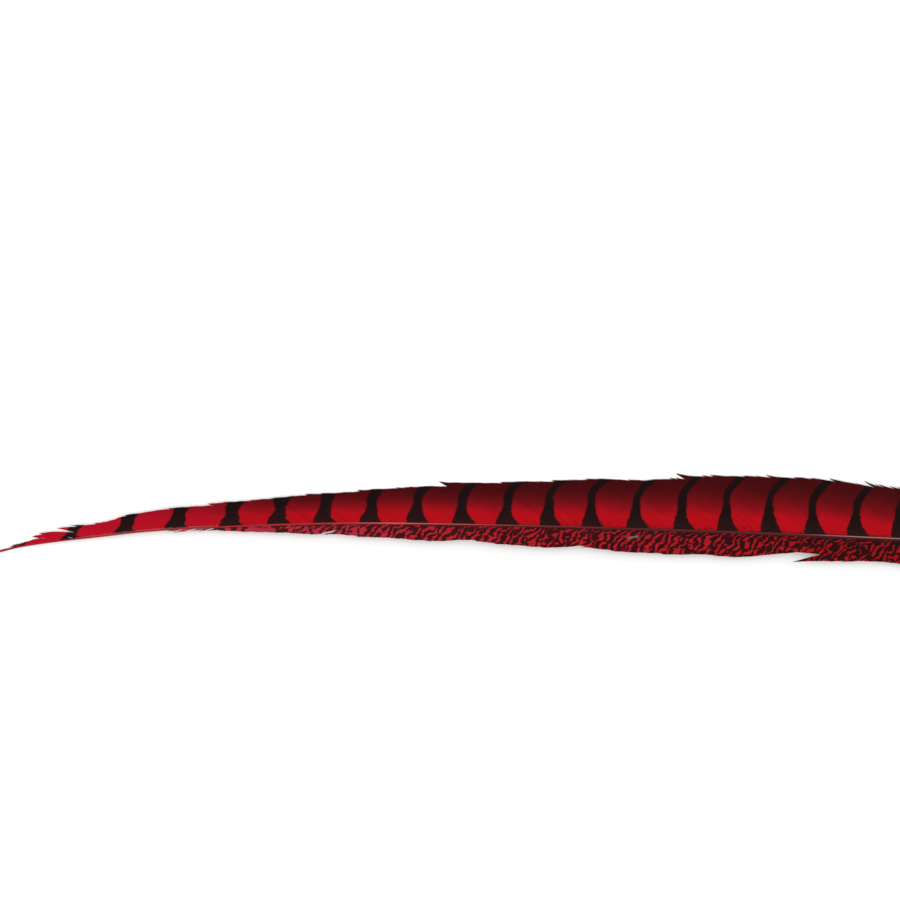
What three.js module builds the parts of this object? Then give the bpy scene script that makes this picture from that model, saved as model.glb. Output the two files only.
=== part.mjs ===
// One long tail feather of a pheasant, dyed red, lying with its upper face up.
// Units are millimetres and +Z is up. The tip points to -X and the quill to +X.
// The wide, barred vane is on the +Y side of the shaft and the narrow, mottled vane on the -Y side.
// The shaft arches gently off the surface, the two vanes slope down from it like a low roof,
// and the outer margin of the wide vane lies flat on the surface for a stretch of its middle.

import * as THREE from 'three';

// Driving dimensions.
const featherLength = 762; // 30 inches, from the tip to the end of the quill
const archRise = 9; // how far the middle of the shaft is lifted off the surface
const shaftSides = 12;
const shaftSteps = 90;
const wideVaneStart = 8;
const narrowVaneStart = 100;
const vaneEnd = 660; // both vanes turn into down here
const downStart = 660.4;
const downEnd = 722; // the bare quill starts here
const rootGap = 0.3; // between the shaft and what grows on its sides
const rootThickness = 0.7; // of a vane beside the shaft
const marginThickness = 0.4; // of a vane at its outer margin
const flatShare = 0.8; // the outer part of the wide vane, beyond this share of its width, is level
const narrowDroop = 0.2; // fall of the narrow vane for each millimetre of its width
const vaneAcross = 5; // strips across a vane
const downThickness = 7; // of the down beside the quill
const downTipThickness = 2; // of the down at its tips

const vaneRed = 0x8c1119;
const vaneMaroon = 0x5a161c;
const shaftHorn = 0x6a2a2c;
const downRed = 0xa04a48;

// A smooth line through [distance from the tip, value] pairs.
function smoothLine(knots) {
  const slopeAt = (i) => {
    const [x0, y0] = knots[Math.max(i - 1, 0)];
    const [x1, y1] = knots[Math.min(i + 1, knots.length - 1)];
    return (y1 - y0) / (x1 - x0);
  };
  return (x) => {
    const after = knots.findIndex(([knotX]) => knotX > x);
    const last = after < 0 ? knots.length - 1 : Math.max(after, 1);
    const [x0, y0] = knots[last - 1];
    const [x1, y1] = knots[last];
    const span = x1 - x0;
    const t = THREE.MathUtils.clamp((x - x0) / span, 0, 1);
    const rise = t * t * (3 - 2 * t);
    const leave = t * (1 - t) * (1 - t) * span * slopeAt(last - 1);
    const arrive = t * t * (t - 1) * span * slopeAt(last);
    return y0 + (y1 - y0) * rise + leave + arrive;
  };
}

// The shaft seen from above: how far its middle line lies to the +Y side, and half its thickness.
const shaftBow = smoothLine([
  [0, -15.6],
  [12, -12.9],
  [24, -11],
  [40, -8.9],
  [60, -6.7],
  [84, -3.9],
  [120, -1.5],
  [204, 1.2],
  [300, 0],
  [420, -3.4],
  [540, -8.4],
  [650, -14.4],
  [762, -22],
]);
const shaftRadius = smoothLine([
  [0, 0.6],
  [10, 0.45],
  [60, 0.48],
  [150, 0.62],
  [300, 0.85],
  [450, 1.1],
  [600, 1.5],
  [700, 2.0],
  [735, 2.2],
  [753, 1.9],
  [762, 0.9],
]);

// Widths from the shaft's middle line to the outer margin of each vane.
const wideVaneWidth = smoothLine([
  [8, 1.2],
  [14, 2],
  [20, 4.4],
  [27, 6.3],
  [34, 6.7],
  [40, 7],
  [54, 7.4],
  [66, 8.9],
  [74, 10.6],
  [84, 11.1],
  [96, 12.1],
  [144, 14.9],
  [216, 19.5],
  [252, 22.7],
  [288, 25.4],
  [306, 26],
  [360, 29.3],
  [384, 29.6],
  [402, 31.4],
  [420, 32.9],
  [444, 33.8],
  [480, 34.2],
  [504, 33.4],
  [524, 31.4],
  [560, 30],
  [620, 25],
  [660, 20],
]);
const narrowVaneWidth = smoothLine([
  [100, 1.2],
  [132, 2.2],
  [156, 4.1],
  [180, 5.7],
  [204, 7],
  [240, 9.3],
  [264, 10.2],
  [276, 9.3],
  [288, 9.9],
  [312, 12.2],
  [336, 12.4],
  [348, 11.6],
  [372, 13.9],
  [396, 14.5],
  [420, 14.3],
  [444, 14.7],
  [462, 12.6],
  [480, 11.2],
  [498, 14.8],
  [516, 14],
  [560, 15.5],
  [620, 13.5],
  [660, 11],
]);
const wideDownWidth = smoothLine([
  [660, 22],
  [684, 25],
  [704, 20],
  [722, 8],
]);
const narrowDownWidth = smoothLine([
  [660, 15],
  [684, 18],
  [704, 15],
  [722, 7],
]);

// Height of the underside of the wide vane's margin, which rests on the surface from 260 to 420.
const wideMarginHeight = smoothLine([
  [8, 0.3],
  [60, 1.6],
  [120, 1.9],
  [190, 0.9],
  [230, 0.2],
  [260, 0],
  [420, 0],
  [450, 0.2],
  [520, 0.9],
  [600, 1.2],
  [660, 1],
]);

// Height of the shaft's middle line: it touches the surface at its two ends.
function shaftHeight(along) {
  const share = along / featherLength;
  return shaftRadius(along) + 4 * archRise * share * (1 - share);
}

// Moves every corner of a unit shape to the place that a function gives for it.
function reshape(geometry, place) {
  const corners = geometry.attributes.position;
  for (let i = 0; i < corners.count; i += 1) {
    const [x, y, z] = place(corners.getX(i), corners.getY(i), corners.getZ(i));
    corners.setXYZ(i, x, y, z);
  }
  geometry.computeVertexNormals();
  return geometry;
}

function namedMesh(name, geometry, color, roughness) {
  const material = new THREE.MeshStandardMaterial({ color, roughness, metalness: 0 });
  const mesh = new THREE.Mesh(geometry, material);
  mesh.name = name;
  return mesh;
}

// Quill and rachis, one tapering rod: a cylinder laid along X, bent and thinned to the tip.
function makeShaft() {
  const rod = new THREE.CylinderGeometry(1, 1, 1, shaftSides, shaftSteps);
  return reshape(rod, (across, rodY, up) => {
    const along = (rodY + 0.5) * featherLength;
    const radius = shaftRadius(along);
    return [along, shaftBow(along) - across * radius, shaftHeight(along) + up * radius];
  });
}

// Something thin that grows on one side of the shaft. side is +1 for the +Y side and -1 for the other.
// place gives [height of the underside, thickness] at a distance along and a share of the width.
function makeBlade(side, start, end, stepsAlong, stepsAcross, widthAt, place) {
  const sheet = new THREE.BoxGeometry(1, 1, 1, stepsAlong, stepsAcross, 1);
  return reshape(sheet, (sheetX, sheetY, sheetZ) => {
    const along = start + (sheetX + 0.5) * (end - start);
    const outward = 0.5 + side * sheetY;
    const root = shaftRadius(along) + rootGap;
    const offset = root + outward * (widthAt(along) - root);
    const [under, thickness] = place(along, outward);
    return [along, shaftBow(along) + side * offset, under + (sheetZ + 0.5) * thickness];
  });
}

function vaneThickness(outward) {
  return THREE.MathUtils.lerp(rootThickness, marginThickness, outward);
}

// The height at which the vanes leave the shaft's sides, a little above its middle.
function vaneRootHeight(along) {
  return shaftHeight(along) + 0.25 * shaftRadius(along) - rootThickness / 2;
}

function makeWideVane() {
  return makeBlade(1, wideVaneStart, vaneEnd, 120, vaneAcross, wideVaneWidth, (along, outward) => {
    const fall = THREE.MathUtils.smoothstep(outward, 0, flatShare);
    const under = THREE.MathUtils.lerp(vaneRootHeight(along), wideMarginHeight(along), fall);
    return [Math.max(under, 0), vaneThickness(outward)];
  });
}

function makeNarrowVane() {
  return makeBlade(-1, narrowVaneStart, vaneEnd, 100, 4, narrowVaneWidth, (along, outward) => {
    const fall = narrowDroop * narrowVaneWidth(along) * outward ** 1.6;
    return [vaneRootHeight(along) - fall, vaneThickness(outward)];
  });
}

// The soft down between the vanes and the bare quill, as one blunt wedge on each side.
// Its tips brush the surface.
function makeDown(side, widthAt) {
  return makeBlade(side, downStart, downEnd, 14, 4, widthAt, (along, outward) => {
    const thickness = THREE.MathUtils.lerp(downThickness, downTipThickness, outward);
    const rootUnder = Math.max(shaftHeight(along) - downThickness / 2, 0);
    return [rootUnder * (1 - outward), thickness];
  });
}

const feather = new THREE.Group();
feather.add(
  namedMesh('shaft', makeShaft(), shaftHorn, 0.4),
  namedMesh('wide_vane', makeWideVane(), vaneRed, 0.6),
  namedMesh('narrow_vane', makeNarrowVane(), vaneMaroon, 0.65),
  namedMesh('wide_side_down', makeDown(1, wideDownWidth), downRed, 0.9),
  namedMesh('narrow_side_down', makeDown(-1, narrowDownWidth), downRed, 0.9),
);

// The origin is under the middle of the feather, on the surface it lies on.
const reach = new THREE.Box3().setFromObject(feather);
const middle = reach.getCenter(new THREE.Vector3());
feather.position.set(-middle.x, -middle.y, -reach.min.z);

const part = new THREE.Group();
part.add(feather);
export default part;
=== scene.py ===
import math
from functools import partial

import bpy
import numpy as np
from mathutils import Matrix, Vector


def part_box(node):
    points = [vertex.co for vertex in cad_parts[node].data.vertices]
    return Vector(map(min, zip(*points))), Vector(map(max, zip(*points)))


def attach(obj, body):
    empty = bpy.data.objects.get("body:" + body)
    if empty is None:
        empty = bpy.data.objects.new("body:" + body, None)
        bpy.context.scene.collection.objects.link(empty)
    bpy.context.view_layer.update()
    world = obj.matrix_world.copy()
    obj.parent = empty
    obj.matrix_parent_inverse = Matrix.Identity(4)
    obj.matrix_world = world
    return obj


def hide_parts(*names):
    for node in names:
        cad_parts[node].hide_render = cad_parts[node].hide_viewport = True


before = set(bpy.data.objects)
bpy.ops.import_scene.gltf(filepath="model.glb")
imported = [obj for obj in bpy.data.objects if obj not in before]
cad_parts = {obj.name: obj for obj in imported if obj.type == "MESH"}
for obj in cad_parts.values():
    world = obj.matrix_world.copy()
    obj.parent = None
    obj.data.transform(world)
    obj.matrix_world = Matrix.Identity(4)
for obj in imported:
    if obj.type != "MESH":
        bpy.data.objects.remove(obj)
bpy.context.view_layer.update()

# A long dyed pheasant tail feather, lying with its upper face up. Lengths are in metres, in the CAD frame:
# the tip points to -X, the quill to +X, and the wide barred vane is on the +Y side of the shaft.

mm = 0.001
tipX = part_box("shaft")[0].x  # places along the feather are counted from the tip
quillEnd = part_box("shaft")[1].x - tipX


def linearColour(hexCode):
    parts = [int(hexCode[i:i + 2], 16) / 255 for i in (1, 3, 5)]
    return [c / 12.92 if c <= 0.04045 else ((c + 0.055) / 1.055) ** 2.4 for c in parts] + [1]


def smoothStep(x, low, high):
    t = np.clip((x - low) / (high - low), 0, 1)
    return t * t * (3 - 2 * t)


def mix(a, b, share):
    return a + (b - a) * share


def smoothLine(knots, unit=(1, 1)):
    # a smooth curve through (place, value) pairs, each column in its own unit
    at, value = np.array(knots, float).T * np.array(unit)[:, None]
    slope = np.gradient(value, at)

    def read(x):
        i = np.clip(np.searchsorted(at, x) - 1, 0, len(at) - 2)
        span = at[i + 1] - at[i]
        t = np.clip((x - at[i]) / span, 0, 1)
        leave = t * (1 - t) ** 2 * span * slope[i]
        arrive = t * t * (t - 1) * span * slope[i + 1]
        return mix(value[i], value[i + 1], t * t * (3 - 2 * t)) + leave + arrive

    return read


def wander(x, seed):
    # a gentle random line between about -1 and 1, the same in every run: three waves, each finer and flatter
    draws = np.random.default_rng(seed)
    finer, turn, height = 1.9, 6.28, 1.8
    waves = [(finer ** n, draws.uniform(0, turn), draws.uniform(0.8, 1.25)) for n in range(3)]
    return sum(np.sin(turn * x * f * stretch + phase) / f for f, phase, stretch in waves) / height


# Where the CAD pieces are: each one's corners come in slices across the feather.

def readSlices(node):
    sliceGap = 0.5 * mm
    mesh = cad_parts[node].data
    points = np.empty(len(mesh.vertices) * 3)
    mesh.vertices.foreach_get("co", points)
    points = points.reshape(-1, 3)
    points = points[np.argsort(points[:, 0])]
    return np.split(points, np.flatnonzero(np.diff(points[:, 0]) > sliceGap) + 1)


def readShaft():
    rows = []
    for ring in readSlices("shaft"):
        low, high = ring.min(0), ring.max(0)
        middle = (low + high) / 2
        rows.append((middle[0] - tipX, middle[1], middle[2], (high[2] - low[2]) / 2))
    along, *columns = np.array(rows).T
    return [smoothLine(list(zip(along, column))) for column in columns]


def readBlade(node, side):
    # its width from the shaft's middle, and the heights of its root and its margin
    edge = 0.1 * mm  # corners this near to the innermost or outermost one belong to the root or the margin
    rows = []
    for points in readSlices(node):
        out = side * points[:, 1]
        root = points[out < out.min() + edge].mean(0)
        margin = points[out > out.max() - edge].mean(0)
        along = margin[0] - tipX
        rows.append((along, abs(margin[1] - bow(along)), root[2], margin[2]))
    along, *columns = np.array(rows).T
    return [smoothLine(list(zip(along, column))) for column in columns]


bow, shaftHeight, shaftRadius = readShaft()
print("frame read: feather of", round(quillEnd / mm), "mm")


# Making meshes and materials.

def makePiece(name, points, faces, maps, material, nodes):
    # faces is a list of arrays, one for each number of sides; maps gives a value for each corner of each face
    loops = np.concatenate([f.ravel() for f in faces]).astype(np.int32)
    sides = np.concatenate([np.full(len(f), f.shape[1]) for f in faces])
    mesh = bpy.data.meshes.new(name)
    mesh.vertices.add(len(points))
    mesh.vertices.foreach_set("co", points.astype(np.float32).ravel())
    mesh.loops.add(len(loops))
    mesh.loops.foreach_set("vertex_index", loops)
    mesh.polygons.add(len(sides))
    mesh.polygons.foreach_set("loop_start", (np.cumsum(sides) - sides).astype(np.int32))
    mesh.update(calc_edges=True)
    for mapName, values in maps.items():
        layer = mesh.uv_layers.new(name=mapName)
        layer.uv.foreach_set("vector", values.astype(np.float32).ravel())
    mesh.materials.append(material)
    piece = bpy.data.objects.new(name, mesh)
    bpy.context.scene.collection.objects.link(piece)
    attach(piece, "root")
    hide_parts(*nodes)
    print(name, "made:", int((sides - 2).sum()), "triangles")
    return piece


def strandFaces(strands, rings, corners):
    # walls between the rings of each strand, then a cap at its root and one at its end
    first = np.arange(strands)[:, None, None] * rings * corners
    ring = np.arange(rings - 1)[None, :, None] * corners
    corner = np.arange(corners)[None, None, :]
    a, b = first + ring + corner, first + ring + (corner + 1) % corners
    walls = np.stack([a, b, b + corners, a + corners], -1).reshape(-1, 4)
    rootCaps = first[:, 0] + np.arange(corners)[::-1]
    endCaps = first[:, 0] + (rings - 1) * corners + np.arange(corners)
    return [walls, np.concatenate([rootCaps, endCaps])]


def addNode(tree, kind, inputs=None, stops=None, **settings):
    # inputs are numbers, colours, sockets, or nodes that give their first output
    node = tree.nodes.new(kind)
    for name, value in settings.items():
        setattr(node, name, value)
    for i, (place, hexCode) in enumerate(stops or []):
        elements = node.color_ramp.elements
        stop = elements[i] if i < 2 else elements.new(place)
        stop.position, stop.color = place, linearColour(hexCode)
    for name, value in (inputs or {}).items():
        if isinstance(value, bpy.types.Node):
            value = value.outputs[0]
        if isinstance(value, bpy.types.NodeSocket):
            tree.links.new(value, node.inputs[name])
        else:
            node.inputs[name].default_value = value
    return node


def newMaterial(name):
    material = bpy.data.materials.new(name)
    material.use_nodes = True
    material.node_tree.nodes.clear()
    return material, material.node_tree


# The vanes.

bars = {
    # dark bars on the wide vane: how many lie between the tip and a place, which spaces them 31 mm apart
    # near the tip and 26 mm apart further down
    "count": [(13, 0), (43, 1), (76, 2), (107, 3), (139.4, 4), (195.3, 6), (250.4, 8), (304.2, 10),
              (354.6, 12), (409, 14), (461.3, 16), (539, 19), (660, 23.7)],
    # half widths in mm to the tip side and the base side, by share of the vane's width
    "tipEdge": [(0, 6.3), (0.1, 6.1), (0.22, 5.3), (0.35, 3.7), (0.5, 2.5), (0.65, 2.3), (0.8, 2.5),
                (1, 3.2)],
    "baseEdge": [(0, 8), (0.05, 6.8), (0.1, 5.6), (0.2, 3.7), (0.35, 2.8), (0.5, 2.7), (0.75, 3),
                 (0.87, 3.5), (1, 3.7)],
    # how much wider than that they are past their feet, by place in mm
    "stouter": [(42, 1.25), (76, 1.55), (107, 1.6), (167, 1.4), (222, 1.2), (300, 1.0), (700, 0.95)],
    # from this share of the width outwards they curl towards the base, by so many mm at the margin
    "curlFrom": [(300, 0.64), (450, 0.52)],
    "curl": [(13, 3), (44, 2), (76, 2.6), (107, 2.8), (167, 1.3), (195, 2.4), (277, 6.5), (355, 9),
             (700, 10)],
    "curlBend": 1.9,
    "waver": 0.6 * mm,  # how far an edge strays from its line
}

barCount = smoothLine(bars["count"], (mm, 1))
barStouter = smoothLine(bars["stouter"], (mm, 1))
barCurl = smoothLine(bars["curl"], (mm, mm))
barCurlFrom = smoothLine(bars["curlFrom"], (mm, 1))
barTipEdge = smoothLine(bars["tipEdge"], (1, mm))
barBaseEdge = smoothLine(bars["baseEdge"], (1, mm))


def barMarks(along, share):
    # how many bars lie between the tip and a point, and how far the nearest one reaches to its tip side and
    # to its base side, as shares of the way to the next; no two bars are alike
    out = np.clip(share, 0, 1.1)
    curlFrom = barCurlFrom(along)
    curl = np.clip((out - curlFrom) / (1 - curlFrom), 0, None) ** bars["curlBend"]
    count = barCount(along - barCurl(along) * curl)
    bar = np.round(count)
    density = (barCount(along + mm / 2) - barCount(along - mm / 2)) / mm
    stouter = barStouter(along)
    pastFoot = smoothStep(out, 0.1, 0.4)
    tipEdge = barTipEdge(out) * mix(stouter ** 0.5, stouter, pastFoot)
    baseEdge = barBaseEdge(out) * mix(1, stouter, pastFoot)
    tipEdge += bars["waver"] * wander(out * 1.1 + bar * 7.3, 3)
    baseEdge += bars["waver"] * wander(out * 1.3 + bar * 5.1, 4)
    # the first bar marks only the margin
    marked = np.where(bar == 0, smoothStep(out, 0.2, 0.5), 1)
    return count, tipEdge * density * marked, baseEdge * density * marked


wideVane = {
    "name": "wideVaneBarbs",
    "node": "wide_vane",
    "slot": "barred_vane",
    "side": 1,
    "roots": (9.4 * mm, 690 * mm),  # first and last barb on the shaft
    "pitch": 0.6 * mm,
    "steps": 20,
    "rootAngle": [(12, 24), (60, 32), (160, 42), (700, 46)],  # between barb and shaft, in degrees
    "marginAngle": [(12, 17), (60, 19), (160, 21), (700, 22)],
    "strayAngle": [(12, 15), (60, 17), (130, 28), (270, 34), (700, 38)],  # of an end that stands out
    "levelFrom": 0.8,  # beyond this share of its width the vane lies level
    "ripple": 0.25 * mm,
    "uneven": 0.3 * mm,  # how much its margin wanders in and out, in waves of 45 mm and 12 mm
    # where the web has come apart: place of the notch in mm, then how far the barbs on its base side stand
    # out and those on its tip side are worn short, then the run of each in mm
    "breaks": [
        (9, 0.5, 0, 7, 1), (20.2, 0.3, 1.6, 5, 3), (24.5, 0.9, 0, 6, 1), (37.1, 1, 2.9, 9, 6),
        (47.2, 1.1, 0.4, 3, 3), (58, 0.3, 0.2, 3, 3), (75, 0.4, 0.2, 3, 3), (102, 0.3, 0.2, 4, 4),
        (125.2, 0.6, 0.7, 5, 5), (150, 0.3, 0.2, 4, 6), (184, 0.4, 0.2, 4, 6), (215, 0.3, 0.3, 4, 4),
        (238, 0.5, 0.3, 3, 4), (266, 1.6, 1.3, 8, 9), (300, 0.4, 0.3, 4, 6), (331, 0.5, 0.4, 6, 6),
        (352, 0.4, 0.3, 5, 5), (376, 0.5, 0.3, 5, 5), (401.6, 0.9, 0.3, 2, 3), (404.4, 1.2, 0.3, 2, 3),
        (408.2, 2.1, 1.3, 6, 12), (422, 0.7, 0.3, 3, 3), (427, 0.9, 0.3, 3, 3), (446.3, 0.6, 0.3, 3, 3),
        (453.7, 0.6, 0.3, 4, 4), (461.2, 1.1, 0.7, 5, 5), (476, 0.6, 0.3, 3, 4), (486, 0.3, 0.2, 3, 3),
        (498.8, 1.3, 0.7, 5, 6), (512.4, 0.6, 0.3, 2, 3), (521.4, 3.2, 0.9, 4, 8), (526, 1.4, 0.3, 2, 2),
        (528.6, 1.2, 0.8, 3.5, 2.5), (534.2, 1.3, 0.7, 3, 3), (538.8, 1, 0.6, 3, 3),
        (546, 2, 0.8, 2.6, 3), (552, 0, 1.2, 1, 22), (560, 1.8, 0.6, 3, 4), (575, 1.2, 0.5, 3, 4),
        (592, 2.2, 1.0, 3, 5), (612, 1.5, 0.6, 3, 4), (633, 2.4, 1.2, 4, 6),
    ],
    # splits inside the web: place, distance from the shaft, length and width of the gap, in mm
    "slits": [(42.5, 1.1, 2.4, 0.7), (25.5, 3.0, 2.4, 0.4)],
    "bareRoots": (46 * mm, 132 * mm),  # the barbs' feet stand apart in pairs here
    "seed": 11,
}

narrowVane = {
    "name": "narrowVaneBarbs",
    "node": "narrow_vane",
    "slot": "mottled_vane",
    "side": -1,
    "roots": (104 * mm, 690 * mm),
    "pitch": 0.6 * mm,
    "steps": 18,
    "rootAngle": [(100, 22), (200, 30), (700, 34)],
    "marginAngle": [(100, 12), (200, 14), (700, 17)],
    "strayAngle": [(100, 12), (700, 20)],
    "levelFrom": None,
    "ripple": 0.2 * mm,
    "uneven": 0.3 * mm,
    "breaks": [
        (108, 0.5, 0.5, 3, 4), (120, 0.5, 0.5, 3, 4), (349, 0.5, 0.5, 5, 8), (487, 4.4, 1.2, 6, 14),
        (505, 0.5, 0.4, 4, 4), (560, 1.0, 0.5, 4, 5), (600, 1.6, 0.7, 4, 5), (640, 1.2, 0.6, 4, 5),
    ],
    "slits": [(197, 5.3, 6, 1.5), (379, 4.9, 3.2, 3.2), (116, 1.0, 7, 1.0), (126, 1.2, 5, 0.8),
              (108, 0.8, 4, 0.7)],
    "bareRoots": (100 * mm, 130 * mm),
    "seed": 12,
}


barb = {
    # what the barbs of both vanes share
    "start": 0.72,  # they start inside the shaft, at this share of its radius from its middle
    "flank": 0.66,  # and at this share of its radius above its middle
    "bend": 1.3,
    "looseEnd": 0.05 * mm,  # how unevenly they end
    "looseMark": 0.22 * mm,  # how much earlier or later than its neighbour one changes colour
    "overlap": 1.35,  # each covers a little of the next
    "crown": 0.34,  # height of the crest, as a share of the half width
    "depth": 0.1 * mm,  # of the keel at the root, below that
    "endWidth": 0.2,  # as a share of its width before the pointed end
    # where the feet stand apart in pairs: how much narrower they are, and how far each moves towards the
    # next, as a share of the pitch
    "footNarrower": 0.28,
    "footShift": 0.3,
}


def growVane(vane, material):
    side, draws = vane["side"], np.random.default_rng(vane["seed"])
    width, rootHeight, marginHeight = readBlade(vane["node"], side)
    pitch, steps = vane["pitch"], vane["steps"]
    roots = np.arange(*vane["roots"], pitch)
    count = len(roots)

    # The line of each barb: it leaves the shaft at one angle and bends to a sharper one at the margin.
    # lean is how far towards the tip it has run, for each millimetre of the width, on a fine scale of shares.
    most, fine = 1.7, 86
    share = np.linspace(0, most, fine)
    rootAngle = np.radians(smoothLine(vane["rootAngle"], (mm, 1))(roots))[:, None]
    marginAngle = np.radians(smoothLine(vane["marginAngle"], (mm, 1))(roots))[:, None]
    strayAngle = np.radians(smoothLine(vane["strayAngle"], (mm, 1))(roots))[:, None]
    angle = mix(marginAngle, rootAngle, np.clip(1 - share, 0, 1) ** barb["bend"])
    angle = mix(angle, strayAngle, smoothStep(share, 0.97, 1.04))
    slope = 1 / np.tan(angle)
    lean = np.zeros_like(slope)
    lean[:, 1:] = np.cumsum((slope[:, 1:] + slope[:, :-1]) / 2, 1) * share[1]
    atOne = lean[:, int(round(1 / share[1]))]

    # The width of the vane where a barb meets its margin gives the barb's natural reach; guess and improve.
    natural = width(roots)
    guesses, trust = 12, 0.7
    for _ in range(guesses):
        natural = mix(natural, width(roots - natural * atOne), trust)

    # Where each barb ends: at the margin, unless the web is broken or worn there.
    landing = roots - natural * atOne
    reach = natural + draws.normal(0, barb["looseEnd"], count)
    waves = wander(landing / (45 * mm), vane["seed"]) + 0.5 * wander(landing / (12 * mm), vane["seed"] + 1)
    reach += vane["uneven"] * waves
    for place, stand, worn, standRun, wornRun in np.array(vane["breaks"]) * mm:
        past = landing - place
        reach += np.where(past >= 0, stand * np.exp(-np.abs(past) / standRun), 0)
        reach -= np.where(past < 0, worn * np.exp(-np.abs(past) / wornRun), 0)

    # Rings along each barb, a little closer together at its root; the last one is its pointed end.
    ring = np.append(0.975 * (np.arange(steps) / (steps - 1)) ** 1.1, 1)
    radius = shaftRadius(roots)
    out = barb["start"] * radius[:, None] + ring * (reach - barb["start"] * radius)[:, None]
    at = np.clip(out / natural[:, None], 0, most) / share[1]
    low = np.minimum(at.astype(int), fine - 2)
    rows = np.arange(count)[:, None]
    run = mix(lean[rows, low], lean[rows, low + 1], at - low) * natural[:, None]
    turn = angle[rows, low]
    along = roots[:, None] - run
    bareFrom, bareTo = vane["bareRoots"]
    bare = ((roots > bareFrom) & (roots < bareTo))[:, None]
    footEnd = smoothStep(out, radius[:, None] + 0.1 * mm, radius[:, None] + 0.8 * mm)
    foot = np.where(bare, 1 - footEnd, 0)
    along = along + foot * barb["footShift"] * pitch * (1 - 2 * (rows % 2))
    for place, away, length, gap in np.array(vane["slits"]) * mm:
        crossing = along[np.arange(count), np.abs(out - away).argmin(1)]
        fromSlit = (np.arange(count) - np.searchsorted(crossing, place) + 0.5)[:, None] * pitch
        lens = np.exp(-((out - away) / (0.5 * length * np.sin(turn))) ** 2 - np.abs(fromSlit) / (3 * mm))
        along = along + np.sign(fromSlit) * lens * 0.5 * gap / np.sin(turn)

    def surface(along, out):
        # the web's middle height: from the shaft's upper flank it falls to the margin
        inner = shaftRadius(along) + 0.3 * mm
        across = np.clip((out - inner) / np.maximum(width(along) - inner, mm), 0, 1)
        fall = smoothStep(across, 0, vane["levelFrom"]) if vane["levelFrom"] else across ** 1.6
        height = mix(rootHeight(along), marginHeight(along), fall)
        flank = shaftHeight(along) + barb["flank"] * shaftRadius(along)
        pastFlank = smoothStep(out, barb["start"] * shaftRadius(along), shaftRadius(along) + 1.5 * mm)
        height = mix(flank, height, pastFlank)
        height = height + vane["ripple"] * wander(along / (70 * mm) + across * 0.6, vane["seed"]) * across
        return np.maximum(height, 0.14 * mm)

    def onWeb(along, out):
        return np.stack([tipX + along, bow(along) + side * out, surface(along, out)], -1)

    path = onWeb(along, out)
    tangent = np.gradient(path, axis=1)
    tangent /= np.linalg.norm(tangent, axis=-1, keepdims=True)
    aside = 0.2 * mm
    across = onWeb(along, out + aside) - onWeb(along, out - aside)
    down = onWeb(along + aside, out) - onWeb(along - aside, out)
    up = np.cross(down, across) * side
    up /= np.linalg.norm(up, axis=-1, keepdims=True)
    broad = np.cross(tangent, up)

    half = 0.5 * pitch * np.sin(turn) * barb["overlap"]
    half = half * (1 - barb["footNarrower"] * foot)
    endTaper = np.append(np.ones(steps), barb["endWidth"])
    half = (half * endTaper)[..., None]
    crest = (barb["crown"] * half[..., 0] * (1 - 0.2 * ring))[..., None]
    keel = (crest[..., 0] + barb["depth"] * (1 - ring) * endTaper)[..., None]
    corners = np.stack([path + up * crest, path + broad * half, path - up * keel, path - broad * half], 2)
    points = corners.reshape(-1, 3)

    # What the surface's colours need to know, for each corner of the mesh.
    cornerAlong = corners[..., 0] - tipX
    cornerOut = side * (corners[..., 1] - bow(cornerAlong))
    jitter = draws.normal(0, barb["looseMark"], count)[:, None, None]
    cornerShare = cornerOut / np.maximum(width(cornerAlong), mm)
    barNumber, tipEdge, baseEdge = barMarks(cornerAlong + jitter, cornerShare)
    one = np.ones_like(cornerOut)
    length = np.cumsum(np.linalg.norm(np.diff(path, axis=1, prepend=path[:, :1]), axis=-1), 1)[..., None]

    # For baked colours the vane is laid out in strips, one above the other, and its underside above them
    # all; spare is the room before a strip for barbs that lean out of it.
    strips, spare, tallest = 4, 75 * mm, 40 * mm
    stripLength = (roots[-1] - roots[0]) / strips
    strip = np.minimum(((roots - roots[0]) / stripLength).astype(int), strips - 1)[:, None, None]
    stripStart = roots[0] + strip * stripLength
    byPoint = {
        "place": (cornerAlong + jitter, cornerOut),
        "bars": (barNumber, cornerShare),
        "barEdges": (tipEdge, baseEdge),
        "strand": (draws.random(count)[:, None, None] * one, length * one),
        "OFBake": (
            (cornerAlong - stripStart + spare) / (stripLength + spare),
            (strip + 0.04 + 0.92 * np.clip(cornerOut / tallest, 0, 1)) / (2 * strips),
        ),
    }
    faces = strandFaces(count, steps + 1, 4)
    loops = np.concatenate([f.ravel() for f in faces])
    maps = {name: np.stack([a.ravel(), b.ravel()], -1)[loops] for name, (a, b) in byPoint.items()}
    under = np.isin(np.arange(len(faces[0])) % 4, (1, 2))
    maps["OFBake"][:, 1] += 0.5 * np.concatenate([np.repeat(under, 4), np.zeros(faces[1].size)])
    return makePiece(vane["name"], points, faces, maps, material, [vane["node"]])


# Dyed keratin barbs combed into a web: their tiny hooks scatter the light, which gives a soft satin.

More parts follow.
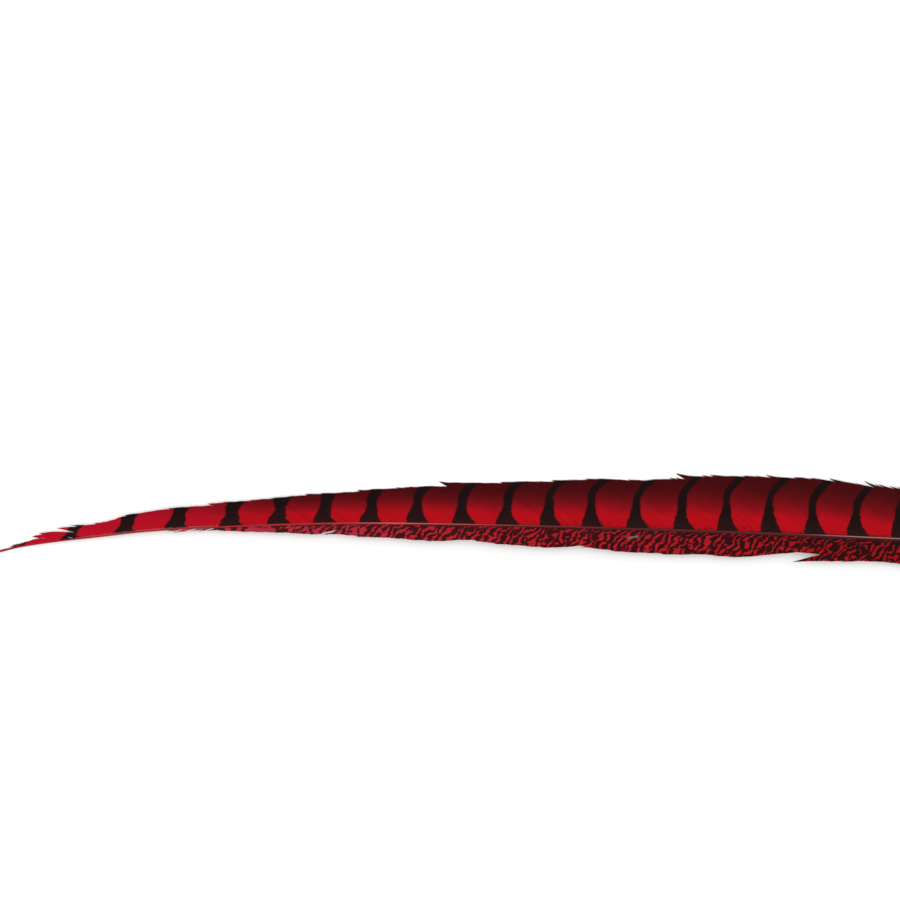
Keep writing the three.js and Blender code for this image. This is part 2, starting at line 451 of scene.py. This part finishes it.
web = {
    "ior": 1.55,  # keratin
    "specular": 0.05,
    "patchRed": [(0, "#b90716"), (0.08, "#b00817"), (0.21, "#9a0816"), (0.37, "#820814"), (0.53, "#6c0810"),
                 (0.69, "#5b070c"), (0.85, "#4e0609"), (1, "#47050a")],
    "tipRed": "#c00d2a",
    "bar": "#1b0a0b",
    # the bars' feet beside the shaft are lighter: a painted sheen
    "barFootSheen": "#2b1113",
    # the mottled vane's two reds, by place along the feather
    "mottleDark": [(0.2, "#4c161a"), (0.33, "#3c0f13"), (0.5, "#350b0f"), (0.68, "#2a080a")],
    "mottleLight": [(0.2, "#c03146"), (0.28, "#c42b3c"), (0.36, "#c4202e"), (0.5, "#c41a28"),
                    (0.6, "#bc141f"), (0.68, "#ac0e16")],
    "mottlePitch": 4.6 * mm,  # from one light line to the next
    "underside": "#8c4c4e",
    "hookSpacing": 0.3 * mm,  # really about 0.03 mm, too fine to show, so drawn coarser
}


def webSurface(tree, colour):
    # what both vanes share: paler and duller below, uneven from barb to barb, with the rows of hooks as bump
    node = partial(addNode, tree)
    underside, hookTurns = linearColour(web["underside"]), 2 * math.pi / web["hookSpacing"]
    strand = node("ShaderNodeSeparateXYZ", {0: node("ShaderNodeUVMap", uv_map="strand")})
    uneven = node("ShaderNodeValToRGB", {0: strand}, stops=[(0, "#e6e6e6"), (1, "#ffffff")])
    barbs = node("ShaderNodeMix", {0: 1.0, 6: colour, 7: uneven}, data_type="RGBA", blend_type="MULTIPLY")
    facing = node("ShaderNodeSeparateXYZ", {0: node("ShaderNodeNewGeometry").outputs["Normal"]})
    below = node("ShaderNodeMapRange", {0: facing.outputs[2], 1: 0.05, 2: -0.15, 4: 0.35})
    both = node("ShaderNodeMix", {0: below, 6: barbs.outputs[2], 7: underside}, data_type="RGBA")
    turns = node("ShaderNodeMath", {0: strand.outputs[1], 1: hookTurns}, operation="MULTIPLY")
    hooks = node("ShaderNodeMath", {0: turns}, operation="SINE")
    bump = node("ShaderNodeBump", {"Height": hooks, "Strength": 0.25, "Distance": 0.02 * mm})
    place = node("ShaderNodeUVMap", uv_map="place")
    patchy = node("ShaderNodeTexNoise", {"Vector": place, "Scale": 1 / (6.25 * mm), "Detail": 2.0})
    roughness = node("ShaderNodeMapRange", {0: patchy, 1: 0.3, 2: 0.7, 3: 0.46, 4: 0.62})
    surface = node("ShaderNodeBsdfPrincipled", {
        "Base Color": both.outputs[2], "Roughness": roughness, "Normal": bump,
        "IOR": web["ior"], "Specular IOR Level": web["specular"],
    })
    node("ShaderNodeOutputMaterial", {"Surface": surface})


def makeBarredWeb():
    material, tree = newMaterial("dyedBarredKeratin")
    node = partial(addNode, tree)
    dark, darkFootSheen, tipRed = (linearColour(web[name]) for name in ("bar", "barFootSheen", "tipRed"))
    place = node("ShaderNodeUVMap", uv_map="place")
    spot = node("ShaderNodeSeparateXYZ", {0: place})
    along, out = spot.outputs[0], spot.outputs[1]
    marks = node("ShaderNodeSeparateXYZ", {0: node("ShaderNodeUVMap", uv_map="bars")})
    barNumber, share = marks.outputs[0], marks.outputs[1]
    between = node("ShaderNodeMath", {0: barNumber}, operation="FRACT")

    # a light patch is bright red beside the shaft and deep maroon towards the margin, and the maroon comes
    # nearer to the shaft on the patch's base side and further from the tip; the tip is bright all over
    cloudy = node("ShaderNodeTexNoise", {"Vector": place, "Scale": 0.09 / mm, "Detail": 3.0})  # 11 mm each
    level = node("ShaderNodeMath", {0: between, 1: 0.1, 2: share}, operation="MULTIPLY_ADD")
    level = node("ShaderNodeMath", {0: cloudy, 1: 0.16, 2: level}, operation="MULTIPLY_ADD")
    starts = node("ShaderNodeMapRange", {0: along, 1: 110 * mm, 2: 320 * mm, 3: 0.53, 4: 0.40})
    deepest = node("ShaderNodeMapRange", {0: along, 1: 60 * mm, 2: 170 * mm, 4: 0.74})
    deeper = node("ShaderNodeMapRange", {0: along, 1: 215 * mm, 2: 290 * mm, 4: 0.26})
    deepest = node("ShaderNodeMath", {0: deepest, 1: deeper}, operation="ADD")
    shade = node("ShaderNodeMapRange", {0: level, 1: starts, 2: 1.02, 4: deepest})
    patch = node("ShaderNodeValToRGB", {0: shade}, stops=web["patchRed"])
    nearTip = node("ShaderNodeMapRange", {0: along, 1: 50 * mm, 2: 178 * mm, 3: 0.8, 4: 0.0})
    patch = node("ShaderNodeMix", {0: nearTip, 6: patch, 7: tipRed}, data_type="RGBA")

    # little dark flecks, 2.4 by 0.7 mm, lie along the barbs' feet, more and more from 250 to 400 mm
    stretched = node("ShaderNodeMapping", {0: place, "Rotation": (0, 0, math.radians(-40)),
                                           "Scale": (2.4 * mm, 0.7 * mm, 1)}, vector_type="TEXTURE")
    specks = node("ShaderNodeTexNoise", {"Vector": stretched, "Scale": 1.0, "Detail": 1.0})
    fleck = node("ShaderNodeMapRange", {0: specks, 1: 0.56, 2: 0.64})
    nearFoot = node("ShaderNodeMapRange", {0: out, 1: 2 * mm, 2: 4.5 * mm, 3: 0.75, 4: 0.0})
    lower = node("ShaderNodeMapRange", {0: along, 1: 250 * mm, 2: 400 * mm})
    fleck = node("ShaderNodeMath", {0: fleck, 1: nearFoot}, operation="MULTIPLY")
    fleck = node("ShaderNodeMath", {0: fleck, 1: lower}, operation="MULTIPLY")
    patch = node("ShaderNodeMix", {0: fleck, 6: patch.outputs[2], 7: dark}, data_type="RGBA")

    # a point is in a bar when it is nearer to its middle than both edges; the pigment of each barb starts and
    # stops a little early or late, so the edges are ragged
    edges = node("ShaderNodeSeparateXYZ", {0: node("ShaderNodeUVMap", uv_map="barEdges")})
    nearest = node("ShaderNodeMath", {0: barNumber}, operation="ROUND")
    past = node("ShaderNodeMath", {0: barNumber, 1: nearest}, operation="SUBTRACT")
    tipSide = node("ShaderNodeMath", {0: past, 1: edges.outputs[0]}, operation="ADD")
    baseSide = node("ShaderNodeMath", {0: edges.outputs[1], 1: past}, operation="SUBTRACT")
    inside = node("ShaderNodeMath", {0: tipSide, 1: baseSide}, operation="MINIMUM")
    ragged = node("ShaderNodeTexNoise", {"Vector": place, "Scale": 0.7 / mm, "Detail": 1.0})  # about 1.4 mm
    inside = node("ShaderNodeMath", {0: ragged, 1: 0.04, 2: inside}, operation="MULTIPLY_ADD")
    inBar = node("ShaderNodeMapRange", {0: inside, 1: 0.0, 2: 0.03}, interpolation_type="SMOOTHSTEP")
    # towards their feet beside the shaft the bars turn lighter, a painted sheen
    foot = node("ShaderNodeMapRange", {0: out, 1: 1 * mm, 2: 11 * mm, 3: 1.0, 4: 0.0})
    bar = node("ShaderNodeMix", {0: foot, 6: dark, 7: darkFootSheen}, data_type="RGBA")
    colour = node("ShaderNodeMix", {0: inBar, 6: patch.outputs[2], 7: bar.outputs[2]}, data_type="RGBA")
    webSurface(tree, colour.outputs[2])
    return material


def makeMottledWeb():
    material, tree = newMaterial("dyedMottledKeratin")
    node = partial(addNode, tree)
    place = node("ShaderNodeUVMap", uv_map="place")
    spot = node("ShaderNodeSeparateXYZ", {0: place})
    along, out = spot.outputs[0], spot.outputs[1]
    marks = node("ShaderNodeSeparateXYZ", {0: node("ShaderNodeUVMap", uv_map="bars")})

    # wavy light lines that lean towards the tip as they run out to the margin, bent every 6 mm or so
    bend = node("ShaderNodeTexNoise", {"Vector": place, "Scale": 0.17 / mm, "Detail": 2.5})
    beside = node("ShaderNodeMapRange", {0: out, 1: 0.0, 2: 3.5 * mm, 4: 3 * mm},
                  interpolation_type="SMOOTHSTEP")
    phase = node("ShaderNodeMath", {0: out, 1: 0.7, 2: along}, operation="MULTIPLY_ADD")
    phase = node("ShaderNodeMath", {0: phase, 1: beside}, operation="ADD")
    phase = node("ShaderNodeMath", {0: phase, 1: 2 * math.pi / web["mottlePitch"]}, operation="MULTIPLY")
    phase = node("ShaderNodeMath", {0: bend, 1: 19.0, 2: phase}, operation="MULTIPLY_ADD")
    lines = node("ShaderNodeMath", {0: phase}, operation="SINE")
    leaning = node("ShaderNodeMapping", {0: place, "Rotation": (0, 0, math.radians(-25)),
                                         "Scale": (3.4 * mm, 1.8 * mm, 1)}, vector_type="TEXTURE")
    crumbs = node("ShaderNodeTexNoise", {"Vector": leaning, "Scale": 1.0, "Detail": 1.0})
    lines = node("ShaderNodeMath", {0: crumbs, 1: 5.0, 2: lines}, operation="MULTIPLY_ADD")

    # nearer to the tip they join into blotches, with dark gaps in line with the bars
    blotches = node("ShaderNodeTexNoise", {"Vector": place, "Scale": 0.165 / mm, "Detail": 2.0})  # 6 mm each
    blotches = node("ShaderNodeMath", {0: blotches, 1: 8.0, 2: -0.9}, operation="MULTIPLY_ADD")
    finer = node("ShaderNodeMapRange", {0: along, 1: 145 * mm, 2: 200 * mm})
    level = node("ShaderNodeMix", {0: finer, 2: blotches, 3: lines})
    nearest = node("ShaderNodeMath", {0: marks}, operation="ROUND")
    past = node("ShaderNodeMath", {0: marks, 1: nearest}, operation="SUBTRACT")
    past = node("ShaderNodeMath", {0: past}, operation="ABSOLUTE")
    darker = node("ShaderNodeMapRange", {0: past, 1: 0.05, 2: 0.25, 3: 1.0, 4: 0.0})
    gaps = node("ShaderNodeMapRange", {0: along, 1: 120 * mm, 2: 260 * mm, 3: -1.0, 4: -0.4})
    level = node("ShaderNodeMath", {0: darker, 1: gaps, 2: level}, operation="MULTIPLY_ADD")

    # the light marks thin out beside the shaft, are fuller towards the tip and sparser towards the base
    atShaft = node("ShaderNodeMapRange", {0: out, 1: 1.0 * mm, 2: 2.2 * mm, 3: -0.45, 4: 0.0})
    level = node("ShaderNodeMath", {0: level, 1: atShaft}, operation="ADD")
    more = node("ShaderNodeMapRange", {0: along, 1: 190 * mm, 2: 300 * mm, 3: 0.3, 4: 0.0})
    level = node("ShaderNodeMath", {0: level, 1: more}, operation="ADD")
    less = node("ShaderNodeMapRange", {0: along, 1: 420 * mm, 2: 520 * mm, 3: 0.0, 4: -0.08})
    level = node("ShaderNodeMath", {0: level, 1: less}, operation="ADD")
    squiggle = node("ShaderNodeMapRange", {0: level, 1: 2.5, 2: 3.1}, interpolation_type="SMOOTHSTEP")

    byPlace = node("ShaderNodeMath", {0: along, 1: quillEnd}, operation="DIVIDE")
    dark = node("ShaderNodeValToRGB", {0: byPlace}, stops=web["mottleDark"])
    light = node("ShaderNodeValToRGB", {0: byPlace}, stops=web["mottleLight"])
    duller = node("ShaderNodeMapRange", {0: marks.outputs[1], 1: 0.1, 2: 0.9, 3: 0.3, 4: 0.0})
    light = node("ShaderNodeMix", {0: duller, 6: light, 7: dark}, data_type="RGBA")
    colour = node("ShaderNodeMix", {0: squiggle, 6: dark, 7: light.outputs[2]}, data_type="RGBA")
    webSurface(tree, colour.outputs[2])
    return material


growVane(wideVane, makeBarredWeb())
growVane(narrowVane, makeMottledWeb())


# The shaft: rachis and quill in one. It is dyed keratin like horn, grown in a sheath, so it is smooth and
# has a dull gloss.

shaft = {
    "rings": 420,
    "corners": 28,
    "groove": 0.3,  # depth of the furrow under the rachis, as a share of its half thickness
    "bareFrom": 716 * mm,
    "tipStouter": 1.3,  # so much thicker at the very tip, where it would be too thin to show
    "tipRun": 14 * mm,
    "pit": 5 * mm,  # depth of the opening at the end of the quill
    # the last rings turn inwards there: how deep they lie, as shares of the pit, and how wide they are, as
    # shares of the end's radius
    "pitDepths": (0, -0.2, -0.6, -1),
    "pitWidths": (0.62, 0.55, 0.5, 0.15),
    "squareness": 0.8,  # of the rachis in section; 1 is round
    "ior": 1.55,
    "specular": 0.12,
    # colours by place: along the crest, which is paler keratin with a painted highlight on it, and on the
    # sides
    "crest": [(0, "#b81f2c"), (0.17, "#b82c30"), (0.24, "#a83438"), (0.28, "#bc4843"), (0.315, "#ee928c"),
              (0.355, "#da5c5a"), (0.42, "#923638"), (0.5, "#5c1c1e"), (0.63, "#68282b"), (0.67, "#b08080"),
              (0.72, "#92706c"), (0.88, "#a07c74"), (0.95, "#b5907f"), (1, "#c7a791")],
    "side": [(0, "#b41f30"), (0.003, "#a81a2a"), (0.006, "#74141e"), (0.011, "#7a151e"), (0.016, "#a81826"),
             (0.2, "#a0161c"), (0.3, "#a82a26"), (0.38, "#560e12"), (0.6, "#480b0e"), (0.7, "#3c090b"),
             (0.86, "#48191b"), (0.93, "#7e4944"), (0.97, "#a87c6c"), (1, "#c7a791")],
    # the pale crest and its painted highlight are turned a little towards +Y
    "crestHighlightTurn": 0.3,  # the crest lies a little to the +Y side, in radians
}


def makeShaft(material):
    along = quillEnd * (np.arange(shaft["rings"]) / (shaft["rings"] - 1))
    along = np.concatenate([along, np.array(shaft["pitDepths"]) * shaft["pit"] + quillEnd])
    radius = shaftRadius(along)
    radius *= mix(shaft["tipStouter"], 1, smoothStep(along, 0, shaft["tipRun"]))
    radius[shaft["rings"]:] = radius[shaft["rings"] - 1] * np.array(shaft["pitWidths"])
    turn = np.arange(shaft["corners"]) / shaft["corners"] * 2 * math.pi
    across, up = np.cos(turn)[None], np.sin(turn)[None]
    grooved = 1 - smoothStep(along, shaft["bareFrom"] - 30 * mm, shaft["bareFrom"])[:, None]
    squarer = mix(1.0, shaft["squareness"], grooved)
    across = np.sign(across) * np.abs(across) ** squarer
    height = np.sign(up) * np.abs(up) ** squarer
    height = height + grooved * shaft["groove"] * smoothStep(-up, 0.7, 1.0)
    points = np.stack([
        tipX + along[:, None] + 0 * up,
        bow(along)[:, None] + radius[:, None] * across,
        shaftHeight(along)[:, None] + radius[:, None] * height,
    ], -1)
    faces = strandFaces(1, len(along), shaft["corners"])
    loops = np.concatenate([f.ravel() for f in faces])
    one = np.ones(points.shape[:2])
    byPoint = {
        "place": (along[:, None] * one, np.sin(turn + shaft["crestHighlightTurn"]) * one),
        "round": (along[:, None] * one, turn / (2 * math.pi) * one),
    }
    maps = {name: np.stack([a.ravel(), b.ravel()], -1)[loops] for name, (a, b) in byPoint.items()}
    return makePiece("shaftKeratin", points.reshape(-1, 3), faces, maps, material, ["shaft"])


def makeShaftKeratin():
    material, tree = newMaterial("dyedShaftKeratin")
    node = partial(addNode, tree)
    place = node("ShaderNodeSeparateXYZ", {0: node("ShaderNodeUVMap", uv_map="place")})
    along, up = place.outputs[0], place.outputs[1]
    # streaks 30 mm long, each 3 hundredths of the way round
    grain = node("ShaderNodeMapping", {0: node("ShaderNodeUVMap", uv_map="round"),
                                       "Scale": (30 * mm, 0.03, 1)}, vector_type="TEXTURE")
    streaks = node("ShaderNodeTexNoise", {"Vector": grain, "Scale": 1.0, "Detail": 3.0})
    share = node("ShaderNodeMath", {0: along, 1: quillEnd}, operation="DIVIDE")
    crest = node("ShaderNodeValToRGB", {0: share}, stops=shaft["crest"])
    side = node("ShaderNodeValToRGB", {0: share}, stops=shaft["side"])
    bare = node("ShaderNodeMapRange", {0: along, 1: 600 * mm, 2: 716 * mm, 3: 0.96, 4: 0.6})
    # the crest strip takes the crest colours: paler keratin with a painted highlight along it
    paleCrestAndHighlight = node("ShaderNodeMapRange", {0: up, 1: bare, 2: 0.995})
    colour = node("ShaderNodeMix", {0: paleCrestAndHighlight, 6: side, 7: crest}, data_type="RGBA")
    pale = node("ShaderNodeValToRGB", {0: streaks}, stops=[(0.3, "#c4c4c4"), (0.7, "#ffffff")])
    colour = node("ShaderNodeMix", {0: 1.0, 6: colour.outputs[2], 7: pale}, data_type="RGBA",
                  blend_type="MULTIPLY")
    bump = node("ShaderNodeBump", {"Height": streaks, "Strength": 0.3, "Distance": 0.03 * mm})
    roughness = node("ShaderNodeMapRange", {0: streaks, 1: 0.3, 2: 0.7, 3: 0.26, 4: 0.4})
    surface = node("ShaderNodeBsdfPrincipled", {
        "Base Color": colour.outputs[2], "Roughness": roughness, "Normal": bump, "IOR": shaft["ior"],
        "Specular IOR Level": shaft["specular"],
    })
    node("ShaderNodeOutputMaterial", {"Surface": surface})
    return material


shaftPiece = makeShaft(makeShaftKeratin())
shaftPiece.data.shade_smooth()


# The down between the vanes and the bare quill: loose keratin threads without hooks, so they don't hold
# together and look matte and fluffy.

down = {
    "from": 668 * mm,
    "to": 721 * mm,
    "ior": 1.55,
    "specular": 0.2,
    "sheen": 0.2,
    "roughness": 0.8,
    "colour": [(0, "#8e2a33"), (0.5, "#a83a42"), (1, "#c2656a")],
    "reach": 0.92,  # size of the first branches, as a share of their solid's width
    "shortest": 0.42,  # and of the last, as a share of that
    "lean": (58, 7),  # between branch and shaft, in degrees, and how much that differs
    "branches": 52,
    "branchSteps": 14,
    "branchHalf": (0.16 * mm, 0.04 * mm),  # at its root and at its end
    "fringe": 0.42 * mm,  # between the side threads of a branch
    "thread": 3.4 * mm,
    "threadHalf": 0.035 * mm,
    "threadTaper": (1, 0.9, 0.7, 0.25),
}


def makeDownKeratin():
    material, tree = newMaterial("dyedDown")
    node = partial(addNode, tree)
    strand = node("ShaderNodeSeparateXYZ", {0: node("ShaderNodeUVMap", uv_map="strand")})
    colour = node("ShaderNodeValToRGB", {0: strand}, stops=down["colour"])
    surface = node("ShaderNodeBsdfPrincipled", {
        "Base Color": colour, "Roughness": down["roughness"], "IOR": down["ior"],
        "Specular IOR Level": down["specular"], "Sheen Weight": down["sheen"],
    })
    node("ShaderNodeOutputMaterial", {"Surface": surface})
    return material


def growDown(name, node, side, material, seed):
    draws = np.random.default_rng(seed)
    low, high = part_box(node)
    widest = (high.y - low.y) * down["reach"]
    count, steps = down["branches"], down["branchSteps"]
    roots = np.linspace(down["from"], down["to"], count) + draws.normal(0, 0.4 * mm, count)
    share = np.linspace(0, 1, steps + 1)[None, :]
    shorter = mix(1.0, down["shortest"], smoothStep(roots, down["from"] + 12 * mm, down["to"]))
    size = widest * shorter * draws.uniform(0.8, 1, count)
    angle = np.radians(draws.normal(*down["lean"], count))[:, None] * (1 - 0.35 * share)
    waves, phase = draws.uniform(4, 8, (count, 1)), draws.uniform(0, 6, (count, 1))
    wave = 0.9 * mm * np.sin(share * waves + phase) * share
    length = share * size[:, None] * 1.1
    out = length * np.sin(angle) + 0.6 * shaftRadius(roots)[:, None] + wave * 0.6
    along = roots[:, None] - length * np.cos(angle) + wave
    start = shaftHeight(roots)[:, None]
    end = draws.uniform(0.8 * mm, 6.5 * mm, (count, 1))
    arch = 1.6 * mm * np.sin(share * math.pi) * draws.uniform(0.2, 1, (count, 1))
    height = mix(start, end, share ** 1.2) + arch
    branch = np.stack([tipX + along, bow(along) + side * out, np.maximum(height, 0.4 * mm)], -1)

    def tubes(path, half):
        # three-sided strands round their paths
        tangent = np.gradient(path, axis=1)
        tangent /= np.linalg.norm(tangent, axis=-1, keepdims=True)
        aside = np.cross(tangent, (0, 0, 1.0))
        aside /= np.linalg.norm(aside, axis=-1, keepdims=True)
        over = np.cross(aside, tangent)
        turn = np.radians((90, 210, 330))
        around = aside[:, :, None] * np.cos(turn)[:, None] + over[:, :, None] * np.sin(turn)[:, None]
        return path[:, :, None] + around[:, :, ::-1] * half[..., None, None]

    branchHalf = mix(*down["branchHalf"], share) * np.ones((count, 1))
    branchPoints = tubes(branch, branchHalf)

    # fine threads stand out from both sides of each branch, shorter towards its ends
    perBranch = int(widest / down["fringe"])
    at = (np.arange(perBranch) + 0.5) / perBranch * 0.96 + 0.04  # the first 4 hundredths stay bare
    spot = at * steps
    lowStep = np.minimum(spot.astype(int), steps - 1)
    foot = mix(branch[:, lowStep], branch[:, lowStep + 1], (spot - lowStep)[None, :, None])
    ahead = branch[:, lowStep + 1] - branch[:, lowStep]
    ahead /= np.linalg.norm(ahead, axis=-1, keepdims=True)
    threads, rings = [], len(down["threadTaper"])
    for hand in (1, -1):
        shape = (count, perBranch, 1)
        aside = hand * np.cross(ahead, (0, 0, 1.0))
        lift = draws.normal(0.15, 0.55, shape)
        heading = ahead * draws.uniform(0.5, 1.0, shape) + aside + np.array((0, 0, 1.0)) * lift
        heading /= np.linalg.norm(heading, axis=-1, keepdims=True)
        reach = down["thread"] * draws.uniform(0.6, 1, shape) * (1 - 0.55 * at[None, :, None] ** 2)
        sway = draws.normal(0, 0.25, (count, perBranch, 3))
        t = np.linspace(0, 1, rings)[:, None]
        straight = (heading * reach)[:, :, None] * t
        path = foot[:, :, None] + straight + (sway * reach)[:, :, None] * t ** 2
        threads.append(path.reshape(-1, rings, 3))
    path = np.concatenate(threads)
    path[..., 2] = np.maximum(path[..., 2], 0.15 * mm)
    threadHalf = down["threadHalf"] * np.array(down["threadTaper"]) * np.ones((len(path), 1))
    threadPoints = tubes(path, threadHalf)

    branchFaces = strandFaces(count, steps + 1, 3)
    threadFaces = strandFaces(len(path), rings, 3)
    points = np.concatenate([branchPoints.reshape(-1, 3), threadPoints.reshape(-1, 3)])
    moved = branchPoints.size // 3
    walls = np.concatenate([branchFaces[0], threadFaces[0] + moved])
    caps = np.concatenate([branchFaces[1], threadFaces[1] + moved])
    # branches are darker than most of the threads
    branchTone = np.repeat(draws.random(count) * 0.4, (steps + 1) * 3)
    threadTone = np.repeat(0.2 + 0.8 * draws.random(len(path)), rings * 3)
    tone = np.concatenate([branchTone, threadTone])
    loops = np.concatenate([walls.ravel(), caps.ravel()])
    maps = {"strand": np.stack([tone, tone], -1)[loops]}
    return makePiece(name, points, [walls, caps], maps, material, [node])


dyedDown = makeDownKeratin()
growDown("wideSideDown", "wide_side_down", 1, dyedDown, 21)
growDown("narrowSideDown", "narrow_side_down", -1, dyedDown, 22)


# A plain pale floor of matte paper, soft studio light, and the camera straight above.

stage = {
    "floor": "#fafaf9",
    "floorSize": 14.0,
    "world": 0.8,
    # x, y, z and watts
    "lights": [(-0.9, 0.5, 2.4, 8.6), (0.9, 0.5, 2.4, 7), (-0.9, -0.5, 2.4, 7), (0.9, -0.5, 2.4, 7)],
    "lightSize": 1.3,
    "cameraHeight": 2.0,
    "viewWidth": 540 * mm,
    # from the tip, and from just below the outermost place of the shaft's bow to the +Y side
    "viewMiddle": (270 * mm, 45 * mm),
    "viewDrop": 1.2 * mm,
}


def makeStage():
    size = stage["floorSize"] / 2
    mesh = bpy.data.meshes.new("floor")
    corners = [(-size, -size, 0), (size, -size, 0), (size, size, 0), (-size, size, 0)]
    mesh.from_pydata(corners, [], [(0, 1, 2, 3)])
    material, tree = newMaterial("matteWhitePaper")
    node = partial(addNode, tree)
    # real fibres are too fine to show, so the grain is drawn 15.6 mm across: 900 of them on the floor's 14 m
    fibres = node("ShaderNodeTexNoise", {"Scale": 900.0, "Detail": 2.0})
    bump = node("ShaderNodeBump", {"Height": fibres, "Strength": 0.05, "Distance": 0.05 * mm})
    surface = node("ShaderNodeBsdfPrincipled", {
        "Base Color": linearColour(stage["floor"]), "Roughness": 0.9, "Specular IOR Level": 0.1,
        "Normal": bump,
    })
    node("ShaderNodeOutputMaterial", {"Surface": surface})
    mesh.materials.append(material)
    floor = bpy.data.objects.new("floor", mesh)
    bpy.context.scene.collection.objects.link(floor)

    world = bpy.data.worlds.new("softRoom")
    bpy.context.scene.world = world
    world.use_nodes = True
    world.node_tree.nodes["Background"].inputs[0].default_value = (1, 1, 1, 1)
    world.node_tree.nodes["Background"].inputs[1].default_value = stage["world"]
    for i, (x, y, z, watts) in enumerate(stage["lights"]):
        light = bpy.data.lights.new("softBox%d" % i, "AREA")
        light.energy, light.size = watts, stage["lightSize"]
        lamp = bpy.data.objects.new(light.name, light)
        lamp.location = (x, y, z)
        lamp.rotation_euler = (-lamp.location).to_track_quat("-Z", "Y").to_euler()
        bpy.context.scene.collection.objects.link(lamp)


def makeCamera():
    data = bpy.data.cameras.new("camera")
    data.sensor_width = 36
    data.lens = data.sensor_width * stage["cameraHeight"] / stage["viewWidth"]
    camera = bpy.data.objects.new("camera", data)
    x, y = stage["viewMiddle"]
    outermost = max(bow(np.linspace(0, quillEnd, 200)))
    camera.location = (tipX + x, outermost - stage["viewDrop"] + y, stage["cameraHeight"])
    bpy.context.scene.collection.objects.link(camera)
    bpy.context.scene.camera = camera


makeStage()
makeCamera()
bpy.context.scene.view_settings.view_transform = "Standard"
